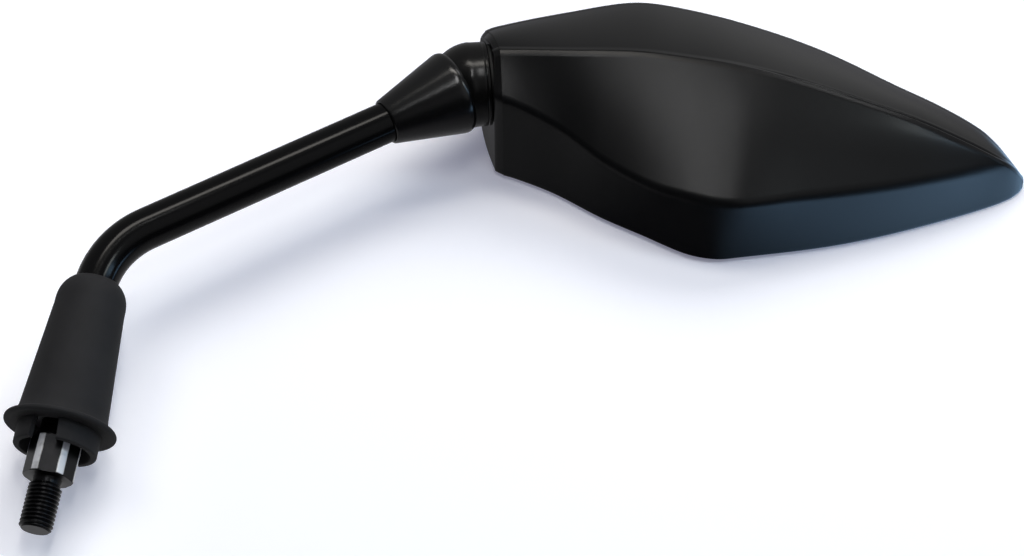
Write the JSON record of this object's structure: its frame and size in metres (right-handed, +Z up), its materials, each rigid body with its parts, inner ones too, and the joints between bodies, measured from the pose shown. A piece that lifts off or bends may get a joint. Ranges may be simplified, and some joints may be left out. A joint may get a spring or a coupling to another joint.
{
  "type": "motorcycle mirror",
  "caption": "Left-hand motorcycle mirror with a faceted pointed housing, a convex glass, a bent round stem and a threaded stud under a rubber boot.",
  "frame": {"origin": "on the lower thread's axis, at the shoulder where the adapter's hexagon seats", "axes": "+Z up along the thread's axis towards the stem, +X out along the arm to the head, +Y towards the rider, the side the glass faces"},
  "size_m": [0.2945, 0.07, 0.2189],
  "materials": {
    "black_zinc": "black zinc plating, satin gloss",
    "zinc_steel": "bright zinc plating",
    "stem_paint": "gloss black powder coat",
    "boot_rubber": "matte moulded rubber",
    "cover_plastic": "gloss black moulding",
    "bright_steel": "ground and polished steel",
    "seat_plastic": "natural acetal",
    "socket_paint": "satin black paint",
    "gasket_rubber": "matte rubber",
    "spring_steel": "oiled spring steel",
    "housing_plastic": "satin black moulding with a very fine grain",
    "carrier_plastic": "matte black moulding",
    "pad_foam": "closed-cell foam tape",
    "mirror_glass": "polished convex mirror"
  },
  "bodies": {
    "base": {"stud_adapter": "black_zinc", "lock_washer": "zinc_steel", "lock_nut": "black_zinc"},
    "stem": {"stem_rod": "stem_paint", "boot": "boot_rubber", "cone_cover": "cover_plastic", "ball_stud": "bright_steel"},
    "seat_front": {"seat_front": "seat_plastic"},
    "seat_back": {"seat_back": "seat_plastic"},
    "head": {"socket_cup": "socket_paint", "neck_gasket": "gasket_rubber", "ring_nut": "zinc_steel", "pressure_cap": "zinc_steel", "disc_springs": "spring_steel", "end_plug": "zinc_steel", "housing": "housing_plastic", "glass_carrier": "carrier_plastic", "carrier_screws": "zinc_steel", "adhesive_pad": "pad_foam", "mirror_glass": "mirror_glass"}
  },
  "joints": [
    {"name": "stem_swivel", "type": "hinge", "parent": "base", "child": "stem", "pos_m": [0, 0, 0], "axis": [0, 0, 1], "range_deg": [-45, 45]},
    {"name": "head_turn", "type": "hinge", "parent": "stem", "child": "seat_front", "pos_m": [0.09851, 0.01861, 0.15718], "axis": [-0.279, 0.2078, 0.9375], "range_deg": [-8, 8]},
    {"name": "head_nod", "type": "hinge", "parent": "seat_front", "child": "seat_back", "pos_m": [0.09851, 0.01861, 0.15718], "axis": [0.9603, 0.0604, 0.2724], "range_deg": [-12, 12]},
    {"name": "head_cant", "type": "hinge", "parent": "seat_back", "child": "head", "pos_m": [0.09851, 0.01861, 0.15718], "axis": [0, -0.9763, 0.2164], "range_deg": [-8, 8]}
  ]
}
